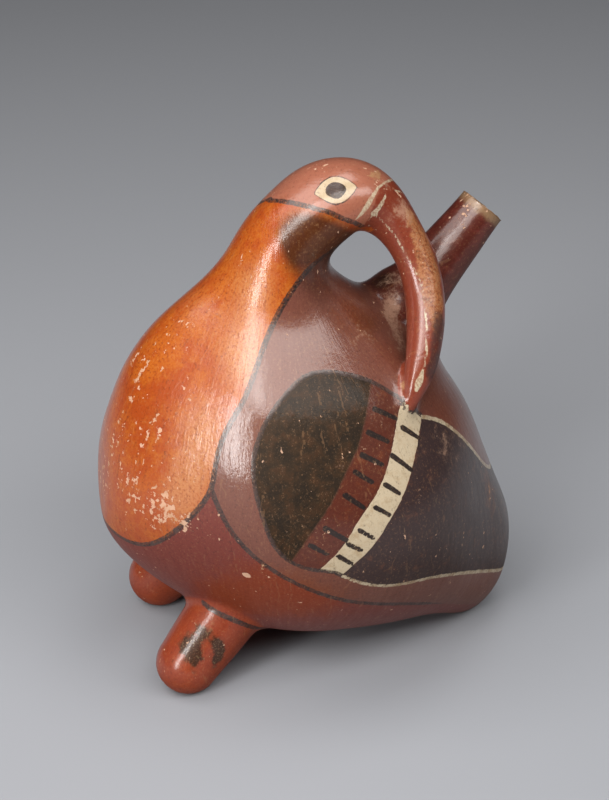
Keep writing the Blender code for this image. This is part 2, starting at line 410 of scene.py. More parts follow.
# Each step moves a point part of the way to the mean of its neighbours. A second, slightly
# larger step back after each one keeps the form from shrinking when keep is on.
def smoothed(points, edges, steps, keep=False):
    a, b = edges.T
    count = np.bincount(a, minlength=len(points)) + np.bincount(b, minlength=len(points))

    def towardsMean(p, share):
        total = np.empty_like(p)
        for i in range(3):
            total[:, i] = np.bincount(a, p[b, i], len(p)) + np.bincount(b, p[a, i], len(p))
        return p + share * (total / count[:, None] - p)

    for _ in range(steps):
        points = towardsMean(points, clay["smoothing"])
        if keep:
            points = towardsMean(points, -clay["regrowth"])
    return points


# Section rule: the distance from a section's centre less the same line's length inside the
# section, which is the distance over the size, where size is 1 on the surface.
def pastSection(reach, size):
    return reach - reach / np.maximum(size, 1e-6)


# Distance from the body, by the section rule at each x.
def bodyDistance(points):
    form = bodyForm
    grid = bodySurface(form["sections"], 4)
    x, halfWidth = grid[:, 0, 0], grid[:, 0, 1]
    centre = (grid[:, 0, 2] + grid[:, 2, 2]) / 2
    halfHeight = (grid[:, 1, 2] - grid[:, 3, 2]) / 2
    skipped = form["endSections"]
    at = np.clip(points[:, 0], x[skipped], x[-1 - skipped])
    wide = np.maximum(np.interp(at, x, halfWidth), 0.5)
    tall = np.maximum(np.interp(at, x, halfHeight), 0.5)
    rise = points[:, 2] - np.interp(at, x, centre)
    power = np.where(rise > 0, form["backFullness"], form["keelFullness"])
    size = ((np.abs(points[:, 1]) / wide) ** power + (np.abs(rise) / tall) ** power) ** (1 / power)
    past = pastSection(np.hypot(points[:, 1], rise), size)
    return past + form["endSlope"] * np.abs(points[:, 0] - at)


# Distance from the shoulders, by the section rule at each height. The front half of each
# ellipse is drawn in by the pinch times the squared sine of twice its angle.
def shoulderDistance(points):
    z, front, back, width = np.array(shoulderForm["stations"]).T
    at = np.clip(points[:, 2], z[0], z[-1])
    read = splineThrough(z, np.c_[(front + back) / 2, (back - front) / 2, width], at)
    x, y = points[:, 0] - read[:, 0], points[:, 1]
    along, wide = x / read[:, 1], y / read[:, 2]
    size = np.hypot(along, wide)
    slant = 2 * along * wide / np.maximum(size, 1e-6) ** 2
    size = size / (1 - np.where(along < 0, shoulderForm["pinch"], 0) * slant**2)
    return pastSection(np.hypot(x, y), size) + np.abs(points[:, 2] - at)


# For each point the nearest sample of a line, by the least squared distance.
def nearestSample(points, line):
    nearest = np.empty(len(points), int)
    for start in range(0, len(points), pointsAtOnce):
        part = points[start:start + pointsAtOnce]
        square = (part**2).sum(1)[:, None] - 2 * part @ line.T + (line**2).sum(1)[None]
        nearest[start:start + pointsAtOnce] = square.argmin(1)
    return nearest


# Distance from a sweep: the nearest place on its path, then the section rule. The last value
# says where along the path each point belongs, from 0 to 1.
def sweepDistance(points, stations, rings):
    path, radii, forward, across, outward = sweepPath(stations, rings)
    place = nearestSample(points, path)
    offset = points - path[place]
    onward = (offset * forward[place]).sum(1)
    slope = np.gradient(radii, np.linalg.norm(path[1] - path[0]), axis=0)
    wide = radii[place] + slope[place] * onward[:, None]
    a, b = (offset * outward[place]).sum(1), (offset * across[place]).sum(1)
    ends = (place == 0) | (place == rings - 1)
    beyond = np.where(ends, onward, 0)
    wide = np.where(ends[:, None], radii[place], wide)
    small = wide.min(axis=1)
    size = np.sqrt((a / wide[:, 0]) ** 2 + (b / wide[:, 1]) ** 2 + (beyond / small) ** 2)
    return pastSection(np.sqrt(a**2 + b**2 + beyond**2), size), place / (rings - 1)


def formDistance(points, form):
    return sweepDistance(points, form["stations"], form["samples"])


def footDistance(points, side):
    return sweepDistance(points, footStations(side), footForm["samples"])[0]


# The lower of two distances, rounded where they meet: less share x (1 - share) x fillet.
def roundedUnion(a, b, fillet):
    share = np.clip(0.5 + 0.5 * (b - a) / fillet, 0, 1)
    return b + (a - b) * share - fillet * share * (1 - share)


# The body passes into the shoulders with height.
def trunkDistance(points):
    share = softStep(points[:, 2], shoulderForm["from"], shoulderForm["to"])
    return bodyDistance(points) * (1 - share) + shoulderDistance(points) * share


# The whole bird as one distance: spout, neck and feet each run into the trunk.
def clayDistance(points):
    body = trunkDistance(points)
    neck, along = formDistance(points, birdForm)
    fillets = np.interp(along, np.linspace(0, 1, len(birdForm["fillets"])), birdForm["fillets"])
    withNeck = roundedUnion(body, neck, fillets)
    spout = formDistance(points, spoutForm)[0]
    withSpout = roundedUnion(body, spout, spoutForm["fillet"])
    whole = roundedUnion(withNeck, withSpout, clay["seamFillet"])
    for side in (-1, 1):
        whole = roundedUnion(whole, footDistance(points, side), footForm["fillet"])
    return whole


# The hollow keeps one wall inside the trunk and runs on up the neck into the head.
def throatStations():
    stations = np.array(birdForm["stations"][:birdForm["headStations"]])
    return stations - (0, 0, 0, clay["neckWall"], clay["neckWall"])


def hollowDistance(points):
    throat = sweepDistance(points, throatStations(), clay["throatSamples"])[0]
    return roundedUnion(trunkDistance(points) + clay["wall"], throat, clay["seamFillet"])


# Each point slides along the slope of a distance, by the distance over the slope, until it
# lies on that surface.
def settled(points, distance, steps, probe=0.05, longest=3.0):
    for _ in range(steps):
        value = distance(points)
        rises = [distance(points + probe * axis) - value for axis in np.eye(3)]
        slope = np.stack(rises, axis=1) / probe
        steep = np.maximum((slope**2).sum(1), flattest)
        points = points - slope * np.clip(value / steep, -longest, longest)[:, None]
    return points


# Slow waves of a hand-built wall: a sum of sines of the place, along the surface normal.
def handWaver(points, normals):
    wave = 0
    for share, lengths, start in clay["waves"]:
        turn = np.array([1 / length if length else 0 for length in lengths])
        wave = wave + share * np.sin(points @ turn + start)
    return points + normals * (clay["waver"] * wave / 3)[:, None]


# The foot of the spout's axis, its direction at the mouth, and the mouth.
def spoutAxis():
    inner, before, mouth = (np.array(spoutForm["stations"][i][:3]) for i in (0, -2, -1))
    return inner, unit(mouth - before), mouth


# The bore: a straight round hole down the spout that opens like a trumpet at the lip.
def boreSurface():
    form = spoutForm
    inner, onward, mouth = spoutAxis()
    radius = form["boreRadius"]
    depth, flare = form["lipDepth"], form["lipFlare"]
    down = [(*(inner + (mouth - inner) * s - onward * depth * s), radius) for s in (0, 0.5)]
    steps = np.linspace(0, 1, form["lipRings"])
    lip = [(*(mouth + onward * depth * (s - 1)), radius + flare * s**3) for s in steps]
    past = [(*(mouth + onward * form["boreOverrun"]), radius + flare * 3)]
    stations = np.array(down + lip + past)
    return ringsAlong(stations[:, :3], stations[:, [3, 3]], *ringAxes(onward), form["boreSides"])


def hollow(thing, cutter):
    cut = thing.modifiers.new("hollow " + cutter.name, "BOOLEAN")
    cut.operation = "DIFFERENCE"
    cut.solver = "EXACT"
    cut.object = cutter


def makeVesselMesh():
    bird = sweepSurface(birdForm["stations"], *clay["birdGrid"])
    rough = fusedMesh("roughClay", [
        bodySurface(*clay["bodyGrid"]),
        shoulderSurface(*clay["shoulderGrid"]),
        roundEnd(bird, birdForm["stations"][-1][3]),
        sweepSurface(spoutForm["stations"], *clay["spoutGrid"]),
        footSurface(-1),
        footSurface(1),
    ], clay["roughVoxel"])
    writePoints(rough, settled(readPoints(rough), clayDistance, clay["roughSteps"]))
    report(f"rough clay: {len(rough.vertices)} points")
    outer = remeshed(rough, clay["voxel"])
    points = readPoints(outer)
    edges = readArray(outer.edges, "vertices", 2, np.int32)
    report(f"outer clay: {len(points)} points")
    points = settled(points, clayDistance, clay["outerSteps"])
    points = smoothed(points, edges, clay["polish"], keep=True)
    writePoints(outer, points)
    points = handWaver(points, readNormals(outer))
    points[:, 2] = np.maximum(points[:, 2], 0)
    writePoints(outer, points)
    report("outer clay smoothed")

    throat = throatStations()
    inner = fusedMesh("cavity", [
        bodySurface(*clay["hollowBodyGrid"], clay["wall"]),
        shoulderSurface(*clay["hollowShoulderGrid"], clay["shoulderWall"]),
        roundEnd(sweepSurface(throat, *clay["throatGrid"]), throat[-1][3]),
    ], clay["cavityVoxel"])
    inside = settled(readPoints(inner), hollowDistance, clay["cavitySteps"])
    edges = readArray(inner.edges, "vertices", 2, np.int32)
    writePoints(inner, smoothed(inside, edges, clay["cavityPolish"]))
    cavity = newObject("cavity", inner)
    boreMesh = meshFromSurfaces("bore", [boreSurface()])
    recalculateNormals(boreMesh)
    bore = newObject("bore", boreMesh)
    vessel = newObject("vesselClay", outer)
    hollow(vessel, cavity)
    hollow(vessel, bore)
    result = bakedMesh(vessel)
    for cutter in (cavity, bore):
        bpy.data.objects.remove(cutter, do_unlink=True)
    report(f"hollowed: {len(result.polygons)} faces")
    return result


vesselMesh = makeVesselMesh()
vesselMesh.name = "effigyVessel"
vesselMesh.shade_smooth()
effigyVessel = newObject("effigyVessel", vesselMesh)


# All curves are x, y, z on the bird's left; the right side is painted as its mirror image.
painting = {
    "breastEdge": (
        (12, -8, 162), (4, -15, 160), (-5.5, -18, 156), (-11.5, -20, 150.5), (-18.5, -23.5, 141.5),
        (-25.5, -30, 130.5), (-32, -35.5, 120), (-37.5, -37, 111.5), (-42, -39, 100.5),
        (-44.8, -41, 91), (-50.5, -39, 80.5), (-58.5, -33.5, 69.5), (-65.5, -25.5, 62),
        (-71, -17, 59.5), (-75.5, -8, 59), (-76.5, 0, 59.5),
    ),
    "bellyLine": (
        (-44.6, -41, 91), (-42.4, -44.3, 84), (-38.2, -48.2, 75.5), (-31.3, -52.3, 67.5),
        (-20.5, -56.5, 59.5), (-5, -57.5, 50.5), (6, -55.5, 45), (18.5, -51, 39.5), (33, -42, 31),
        (48, -29, 19), (60, -16, 10),
    ),
    "headLine": (
        (-14, 0, 175.6), (-12.6, -3, 176.8), (-10.4, -6.1, 177.5), (-5.8, -10.8, 178),
        (0.2, -14.6, 176.9), (3.2, -15.5, 176), (6.4, -16, 174.2), (10.9, -15.1, 171.6),
        (15, -12.4, 168.4),
    ),
    "wingEdge": (
        (30.5, -36, 106), (22.5, -37, 114.5), (13, -35, 121), (5.5, -34.5, 124.5),
        (-1, -34.5, 126.5), (-9.8, -35.5, 127), (-17.5, -38.5, 123), (-23.5, -41.5, 118),
        (-28.8, -44, 109.5), (-31.2, -46.5, 102), (-31, -50, 92), (-29, -53.5, 82),
        (-25.8, -56, 73.5), (-21.2, -57.8, 68.5), (-13.4, -60, 65.3), (-5.3, -61, 62.9),
        (-3.4, -60.8, 61.4),
    ),
    "oliveEdge": (
        (12.5, -35.5, 121.3), (11.5, -38, 119), (9.2, -42.5, 114.5), (5, -48.5, 106),
        (-1, -53.5, 98), (-6.8, -57.5, 90), (-13.5, -59.2, 81), (-19.6, -58.5, 71),
        (-21, -58, 68.4),
    ),
    "creamFront": (
        (22.6, -37.2, 114.3), (19.5, -42.3, 107.5), (14, -51, 97), (8.4, -56.3, 89.5),
        (2.1, -59.5, 83), (-3.5, -61, 75), (-10.2, -60.7, 67.3), (-12.2, -60.2, 65),
    ),
    "creamBack": (
        (30.6, -36.2, 105.6), (27.2, -43, 99.7), (23.4, -49.3, 93.2), (19.2, -54.5, 87.2),
        (12.2, -59, 79), (6.3, -61, 72), (-0.3, -61.4, 66), (-4.2, -61, 62),
    ),
    "tipTop": (
        (30.6, -36.2, 105.6), (38.3, -32.8, 100.8), (46, -30, 93), (56.3, -23, 78),
        (65.5, -11, 65.3), (67.5, 0, 63),
    ),
    "tipUnder": (
        (-3.6, -60.8, 61.6), (4.6, -59.5, 56.3), (16, -56.8, 52), (26.4, -53, 49.8),
        (43, -42.5, 42.4), (57, -30.5, 32.5), (67.2, -19.5, 24.5), (74, -8, 19), (75.5, 0, 18),
    ),
    # start, end, half width at each
    "redTicks": (
        ((12, -41.4, 114.3), (19.8, -41.1, 109.2), 1.0, 0.75),
        ((8.6, -46.2, 108.4), (15.6, -46.4, 103.8), 1.0, 0.8),
        ((5.3, -50.4, 102.5), (12.2, -51, 98), 1.0, 0.8),
        ((2.2, -53.4, 98), (7.8, -54.5, 93.8), 0.95, 0.75),
        ((-2.1, -56.7, 91.5), (4.2, -58.2, 86.3), 1.0, 0.8),
        ((-9.7, -59.7, 81.4), (-2.7, -61, 76.4), 1.05, 0.85),
        ((-14.9, -59.6, 75.4), (-9.3, -60.9, 71.7), 0.95, 0.75),
    ),
    "creamTicks": (
        ((21.7, -42, 106), (28.2, -41.8, 100.5), 1.0, 0.75),
        ((16.4, -48.6, 99.5), (23, -49.4, 93.4), 1.0, 0.8),
        ((12.5, -54.2, 92), (17.4, -54.8, 88), 0.95, 0.8),
        ((8.1, -57.8, 85.8), (13.2, -58, 82), 0.85, 0.75),
        ((2, -60.4, 79.2), (6.8, -60.7, 75.5), 0.85, 0.75),
        ((-2.1, -61.2, 74.8), (2.4, -61.4, 71.7), 0.85, 0.8),
        ((-5.5, -61.3, 70.6), (-0.8, -61.4, 66.7), 0.95, 0.8),
    ),
    # where the bill's own colour begins: a point and the way onward, the mm along the bird's
    # path before it, and how far it laps onto the head
    "billRoot": ((20.5, -10.6, 180.6), (0.67, -0.67, -0.32)),
    "billFrom": 76.0,
    "billLap": 8.0,
    # x, y, z and half width along each cream stroke at the root of the bill
    "billStrokes": (
        ((28.5, -2, 179.6, 0.45), (24.5, -7, 181, 0.5), (20.5, -10.6, 180.6, 0.5),
         (16.5, -13.6, 177, 0.95), (12.2, -15, 172.3, 0.3)),
        ((23.5, -11.5, 178.2, 0.4), (21.5, -12.6, 176, 0.7), (18.4, -13.8, 173.2, 1.0)),
        ((17.2, -13.5, 171.4, 0.25), (17.2, -12, 168.6, 0.25), (19.6, -10.4, 167, 0.22)),
        ((28, -7.4, 178, 0.4), (31, -5.1, 175.8, 0.35)),
    ),
    "mouthLine": (
        (18.4, -13.8, 173.2, 0.55), (21.2, -12.8, 170.4, 0.45), (26.7, -13.3, 163.3, 0.4),
        (29.3, -15.2, 158, 0.32), (33.2, -20.8, 149.8, 0.32), (33.7, -25.8, 142.6, 0.36),
        (32.6, -32.1, 133.4, 0.45), (31.6, -35.2, 128, 0.5), (29.8, -37.2, 123.4, 0.6),
        (28.4, -38.2, 120.2, 1.3), (27.3, -38.8, 117.6, 0.5),
    ),
    "legStroke": ((-48, -30, 36), (-39, -34.5, 32.5), (-25, -31, 23)),
    # x, z corners that close each field's side view outside the vessel
    "closing": {
        "breast": ((-95, 59.5), (-95, 220), (40, 220), (40, 162)),
        "head": ((60, 150), (60, 240), (-60, 240), (-60, 175.6)),
        "belly": ((-95, 59.5), (-95, -20), (60, -20)),
        "olive": ((-60, 60), (-60, 140), (12.5, 140)),
        "wingTip": ((95, 18), (95, 63)),
    },
    # half widths of the long lines, and the x between which the belly line runs out
    "brush": {"edge": 1.0, "belly": 1.0, "wing": 0.85, "leg": 1.05, "head": 0.9, "creamLine": 0.75},
    "bellyFade": (25.0, 52.0),
    # at the nape the head line runs lower on the right: by how much and which way, and the y
    # where that starts, is full, starts to end and is over
    "napeDip": (5.5, (1.0, 0.0, 0.9), 0.0, 6.0, 8.0, 26.0),
    "spoutFoot": 2.5,       # how far above its seam the spout's own slip begins
    "smokeAndShadeEnd": (-1.0, 0.0),        # the smoke and painted shade stop between these distances from the head
    "underside": (-0.3, 0.35),      # how far down a surface faces where its burnish goes
    # how far below the rim the wear is read, how near the spout, and from where on it counts
    "rim": {"depth": 60.0, "near": 4.0, "above": -2.0},
    # mm past the bore and the hollow that still look raw, and half the blur of that edge
    "raw": {"bore": 0.9, "boreBlur": 0.3, "hollow": 2.2, "hollowBlur": 1.0},
}

# The painted eye: its corners and the middles of its lids, then along and up the eye the
# middle and half axes of the pupil and of the darker ring about it.
eyeForm = {
    "corners": ((-1.1, -10.1, 182.0), (13.2, -11.2, 183.1)),
    "lids": ((7.8, -7.8, 185.5), (5.1, -14.6, 178.9)),
    "lidFullness": 1.9,
    "lidSlope": 0.85,       # turns the height below a lid into the distance from it
    "reach": 11.0,
    "pupil": (-0.4, 0.3, 3.1, 2.5),
    "pupilShade": (0.0, -0.3, 3.6, 3.0),
    "pupilFullness": 1.6,
    "pupilSlope": 2.6,
}

farthest = 7.0              # mm at which distances from the paint's edges end


# strength, centre, spread of each soft patch
wear = {
    "scuff": (  # slip flaked off in small pale specks
        (1.0, (-60, -30, 81), (9, 10, 8)), (0.8, (-68, -20, 82), (7, 8, 8)),
        (0.8, (-54, -37, 76), (8, 9, 6)), (0.75, (-72, -8, 92), (6, 7, 9)),
        (0.75, (-75.5, 0, 78), (7, 12, 9)), (0.5, (-70, 8, 104), (8, 11, 13)),
        (0.55, (-60, -6, 120), (10, 10, 12)), (0.45, (-60, -20, 106), (8, 9, 12)),
        (0.3, (-48, -6, 134), (10, 9, 8)), (0.6, (58, 8, 152), (9, 8, 12)),
        (0.3, (30, -20, 150), (7, 9, 16)), (0.35, (2, 0, 187), (10, 8, 4)),
        (0.6, (23, -7, 181), (6, 7, 5)), (0.5, (-64, 26, 78), (9, 12, 11)),
        (0.35, (-30, 50, 74), (16, 9, 12)), (0.3, (36, 46, 60), (16, 10, 14)),
    ),
    "warmth": (  # slip fired to a more orange red
        (1.0, (-22, -52, 52), (22, 16, 14)), (0.7, (-40, -40, 40), (14, 14, 12)),
        (0.8, (-20, 50, 50), (24, 16, 16)), (0.8, (16, -18, 138), (14, 12, 9)),
    ),
    "billWear": (  # the outer side of the bill, handled down to the ochre ground
        (0.7, (32, -10, 169.5), (4, 4, 5)), (0.9, (35, -13.5, 162.5), (5, 5, 6)),
        (1.0, (37, -18, 155), (5, 5, 6)), (1.0, (37.5, -22.5, 147.5), (5, 5.5, 6)),
        (0.8, (37.5, -26.5, 141), (4.5, 5, 5)), (0.6, (36, -30, 134), (4, 5, 6)),
    ),
    "billShade": (  # and its lower edge, smoked purple brown and darkened as painted shade
        (1.0, (38.4, -28.5, 137), (4, 5, 6)), (1.1, (36.4, -34, 129.5), (4, 4.5, 7)),
        (1.0, (33.6, -37, 122.5), (4, 4, 5)),
    ),
    "dusty": (  # a pale film of earth left in the burnish, and painted sheen: pale patches where reflections fall on the bill, the saddle, the red band and the wing tip
        (1.0, (28, -5, 133), (4, 6, 5)), (0.8, (27, -12, 129), (4, 5, 6)),
        (0.7, (27, -19, 124), (4, 5, 4)), (0.8, (31, 2, 139), (5, 5, 5)),
        (0.5, (12, -22, 132), (8, 5, 5)), (0.7, (27.5, -33, 118), (3, 3, 5)),
        (0.55, (52, 4, 152), (7, 5, 10)), (0.6, (24, -6, 182), (6, 6, 3)),
        (1.0, (29.5, -11, 171.5), (6, 7, 6)), (0.6, (40, -37, 92), (14, 8, 12)),
        (0.5, (16, -43, 110), (8, 6, 8)), (0.4, (0, 2, 186), (10, 7, 4)),
        (0.5, (40, 34, 60), (16, 12, 20)), (0.5, (-20, 52, 80), (16, 12, 20)),
    ),
    "thinSlip": (  # slip so thin that the buff clay warms it, and painted sheen along the breast's edge
        (0.9, (-30, -26, 132), (9, 12, 16)), (0.9, (-46, -36, 108), (9, 12, 18)),
        (0.8, (-54, -36, 86), (9, 10, 14)), (0.7, (-24, -16, 152), (9, 12, 12)),
        (0.4, (-42, -4, 140), (9, 12, 14)), (0.6, (-44, 34, 112), (12, 14, 22)),
    ),
    "smoke": (  # dark clouding from the firing, and painted shade under the chin, beneath the bill and in the saddle below the loop
        (1.2, (-6, -15, 171), (8, 6, 6)), (1.1, (-9, -16, 165), (5, 6, 7)),
        (1.3, (1, -16, 167.5), (7, 6, 6)), (1.1, (8, -12, 164), (7, 7, 6)),
        (0.6, (-5, -17, 158), (6, 7, 8)), (0.5, (0, -14, 148), (7, 8, 8)),
        (0.9, (10, -6, 156), (9, 9, 7)), (1.1, (27, 4, 138.5), (6, 6, 4)),
        (0.5, (16, -16, 134), (12, 8, 8)), (0.45, (28, -34, 119), (7, 6, 8)),
        (0.5, (10, 24, 60), (20, 60, 30)),
    ),
    "smudge": (  # dark glossy patches on the feet
        (0.8, (-53, -34.5, 22), (3.8, 4, 5)), (0.75, (-50.5, -35.5, 18.8), (2.9, 4, 4)),
        (0.7, (-48, -34, 27), (3.4, 4, 3)), (0.75, (-42.4, -37, 21.5), (2.6, 4, 4.5)),
        (0.6, (-44.2, -38, 16), (1.8, 4, 3.4)), (0.8, (-50, 35, 23), (4, 4, 5)),
        (0.5, (-44, 38, 19), (2.5, 4, 5)),
    ),
    "rubbed": (  # slip rubbed through to the buff clay
        (1.0, (22, -5, 183.5), (4.5, 6, 2.2)), (0.5, (2.5, 2, 187), (4, 4, 2)),
        (0.8, (24, -34.5, 117), (2.4, 2.4, 4.5)), (0.6, (62, -22, 62), (4, 5, 10)),
        (0.5, (66, 16, 52), (5, 8, 9)), (0.6, (-53, -29, 2), (6, 6, 4)),
        (0.6, (-53, 29, 2), (6, 6, 4)), (0.5, (58, 0, 1), (8, 8, 3)),
    ),
    "chips": (  # single chips, sharp-edged
        (1.0, (-34.6, -47.9, 58.8), (2.0, 1.6, 1.3)), (0.75, (-21.7, -48, 107), (0.6, 1.5, 1.9)),
        (0.75, (-28, -47.5, 102.6), (0.6, 1.5, 1.5)), (1.0, (-63, -16, 113), (1.2, 1.4, 2.2)),
        (1.0, (-14, 56, 88), (1.6, 1.6, 1.2)), (1.0, (40, 38, 72), (1.3, 1.6, 1.8)),
        (1.0, (-60, 32, 92), (1.5, 1.5, 1.2)),
    ),
}


# A smooth curve through the points, sampled at even steps and laid on the clay.
def laidCurve(controls, spacing=0.5):
    controls = np.array(controls, float)
    knots = lengthAlong(controls[:, :3])
    at = np.linspace(0, knots[-1], max(4, int(knots[-1] / spacing)))
    if len(controls) > 2:
        curve = splineThrough(knots, controls, at)
    else:
        curve = controls[0] + (controls[1] - controls[0]) * (at / at[-1])[:, None]
    curve[:, :3] = settled(curve[:, :3], clayDistance, 3)
    return curve


# Distance in mm from each point to a curve, up to the farthest, and the nearest sample.
def curveDistance(points, curve):
    line = curve[:, :3]
    close = (points > line.min(0) - farthest) & (points < line.max(0) + farthest)
    near = np.flatnonzero(close.all(1))
    gap = np.full(len(points), farthest)
    nearest = np.zeros(len(points), int)
    nearest[near] = nearestSample(points[near], line)
    away = np.linalg.norm(points[near] - line[nearest[near]], axis=1)
    gap[near] = np.minimum(farthest, away)
    return gap, nearest


# Even-odd test in side view: inside, a level ray crosses the outline an odd number of times.
def insideOutline(points, outline):
    x, z = points[:, 0], points[:, 2]
    inside = np.zeros(len(points), bool)
    for (x0, z0), (x1, z1) in zip(outline, np.roll(outline, -1, axis=0)):
        if z0 != z1:
            inside ^= ((z > z0) != (z > z1)) & (x < x0 + (z - z0) * (x1 - x0) / (z1 - z0))
    return inside


# Signed distance of a painted field: the gap to its border curves, positive inside its outline
# in side view, which is made of curves and corners.
def fieldDistance(points, borders, *outline):
    gap = np.min([curveDistance(points, border)[0] for border in borders], axis=0)
    sideView = np.concatenate([np.array(part)[:, [0, -1]] for part in outline])
    return np.where(insideOutline(points, sideView), gap, -gap)


# A soft round patch: 1 at its centre, falling off as a bell curve.
def patch(points, centre, spread):
    return np.exp(-(((points - np.array(centre)) / np.array(spread)) ** 2).sum(1))


def limited(values):
    return np.clip(values, -farthest, farthest)


# Strokes of the brush: half width less the distance from the nearest curve.
def strokeDistance(points, curves, widths):
    best = np.full(len(points), -farthest)
    for curve, width in zip(curves, widths):
        gap, nearest = curveDistance(points, curve)
        best = np.maximum(best, (width[nearest] if np.ndim(width) else width) - gap)
    return best


# The painted fields and lines of the breast, the belly, the head and the wing.
def slipFields(folded, sunk, onBill):
    edge, belly, head, wing, olive, front, back, top, under = (
        laidCurve(painting[name]) for name in (
            "breastEdge", "bellyLine", "headLine", "wingEdge", "oliveEdge", "creamFront",
            "creamBack", "tipTop", "tipUnder"))
    closing, brush = painting["closing"], painting["brush"]
    keel = edge[int(curveDistance(belly[:1], edge)[1][0]):]
    above = fieldDistance(sunk, [head], head, closing["head"])
    inWing = fieldDistance(folded, [wing, olive], wing[:-1], front[::-1])
    left = fieldDistance(folded, [olive], olive, closing["olive"])
    field = {
        "breast": fieldDistance(folded, [edge], edge, closing["breast"]),
        "head": np.maximum(above, limited(onBill)),
        "belly": fieldDistance(folded, [belly, keel], belly[::-1], keel, closing["belly"]),
        "olive": np.minimum(inWing, left),
        "redBand": fieldDistance(folded, [olive, front, wing], olive, front[::-1]),
        "creamBand": fieldDistance(folded, [front, back, wing], front, back[::-1]),
        "wingTip": fieldDistance(
            folded, [back, top, under], under, closing["wingTip"], top[::-1], back),
    }

    fade = brush["belly"] * (1 - softStep(belly[:, 0], *painting["bellyFade"]))
    lines = [edge, belly, wing, laidCurve(painting["legStroke"])]
    onBody = strokeDistance(folded, lines, [brush["edge"], fade, brush["wing"], brush["leg"]])
    field["ink"] = np.maximum(onBody, strokeDistance(sunk, [head], [brush["head"]]))
    ticks = painting["redTicks"] + painting["creamTicks"]
    curves = [laidCurve(tick[:2]) for tick in ticks]
    widths = [np.linspace(*tick[2:], len(curve)) for tick, curve in zip(ticks, curves)]
    field["tick"] = strokeDistance(folded, curves, widths)
    field["creamLine"] = strokeDistance(folded, [top, under], [brush["creamLine"]] * 2)
    marks = [laidCurve(stroke) for stroke in painting["billStrokes"] + (painting["mouthLine"],)]
    field["billMark"] = strokeDistance(folded, marks, [mark[:, 3] for mark in marks])
    return field


# The eye in its own two directions u and v: between the lids, v is less than the eye's half
# height times 1 - |u / half length| to a power. Pupil and ring are superellipses.
def eyeFields(folded):
    form = eyeForm
    back, front = np.array(form["corners"])
    up, down = np.array(form["lids"])
    middle = (back + front) / 2
    lengthwise = unit(front - back)
    upward = (up - down) - lengthwise * ((up - down) @ lengthwise)
    tall = np.linalg.norm(upward) / 2
    upward /= 2 * tall
    wide = np.linalg.norm(front - back) / 2
    u, v = (folded - middle) @ lengthwise, (folded - (up + down) / 2) @ upward
    close = np.linalg.norm(folded - middle, axis=1) < form["reach"]
    lid = tall * np.maximum(1 - np.abs(u / wide) ** form["lidFullness"], 0) - np.abs(v)
    beside = wide - np.abs(u) - np.abs(v)
    between = limited(np.where(np.abs(u) < wide, lid * form["lidSlope"], beside))
    field = {"eye": np.where(close, between, -farthest)}
    power = form["pupilFullness"]
    for name in ("pupil", "pupilShade"):
        u0, v0, a, b = form[name]
        size = np.abs((u - u0) / a) ** power + np.abs((v - v0) / b) ** power
        field[name] = np.where(close, 1 - size, -3) * form["pupilSlope"]
    return field


# Distance below the rim of the spout, and what lies inside the bore or the hollow.
def mouthFields(points, spout):
    inner, lean, mouth = spoutAxis()
    below = (mouth - points) @ lean
    fromAxis = np.linalg.norm(points - mouth + below[:, None] * lean, axis=1)
    longest = np.linalg.norm(mouth - inner)
    rim, raw = painting["rim"], painting["raw"]
    beside = spoutForm["boreRadius"] + raw["bore"] - fromAxis
    bore = softStep(beside, -raw["boreBlur"], raw["boreBlur"]) * (below < longest)
    behind = raw["hollow"] - hollowDistance(points)
    hollowed = softStep(behind, -raw["hollowBlur"], raw["hollowBlur"])
    worn = np.where(spout < rim["near"], below, rim["depth"])
    return {
        "fromRim": np.clip(worn, rim["above"], rim["depth"]),
        "inside": np.maximum(bore, hollowed),
    }


# Every measure that the slip needs, as one value for each point. The right side is folded
# onto the left one, and sunk where the head line runs lower.
def paintedFields(points, facingDown):
    folded = points * (1, 0, 1) - np.abs(points) * (0, 1, 0)
    y = points[:, 1:2]
    depth, way, start, full, ending, over = painting["napeDip"]
    dip = depth * softStep(y, start, full) * (1 - softStep(y, ending, over))
    sunk = folded + dip * way
    neck, along = formDistance(points, birdForm)
    trunk = trunkDistance(points)
    spout = formDistance(points, spoutForm)[0]
    length = lengthAlong(sweepPath(birdForm["stations"], birdForm["samples"])[0])[-1]
    onBill = np.minimum.reduce([trunk - neck, spout - neck, along * length - painting["billFrom"]])
    root, past = np.array(painting["billRoot"])

    field = slipFields(folded, sunk, onBill)
    field |= eyeFields(folded)
    field["spout"] = limited(np.minimum(trunk, neck) - spout - painting["spoutFoot"])
    field["leg"] = limited(trunk - footDistance(folded, -1))
    field["bill"] = limited(np.minimum(onBill + painting["billLap"], (folded - root) @ past))
    field |= mouthFields(points, spout)
    for name, places in wear.items():
        field[name] = sum(strength * patch(points, *place) for strength, *place in places)
    field["smoke"] *= 1 - softStep(field["head"], *painting["smokeAndShadeEnd"])
    field["under"] = softStep(facingDown, *painting["underside"])
    return field


def writeFields(mesh, fields):
    for name, values in fields.items():
        layer = mesh.attributes.new(name, "FLOAT", "POINT")
        layer.data.foreach_set("value", np.asarray(values, np.float32))


# sRGB hex to linear light.
def toLinear(code, alpha=1.0):
    parts = np.array([int(code[i:i + 2], 16) / 255 for i in (0, 2, 4)])
    linear = np.where(parts <= 0.04045, parts / 12.92, ((parts + 0.055) / 1.055) ** 2.4)
    return (*linear.tolist(), alpha)


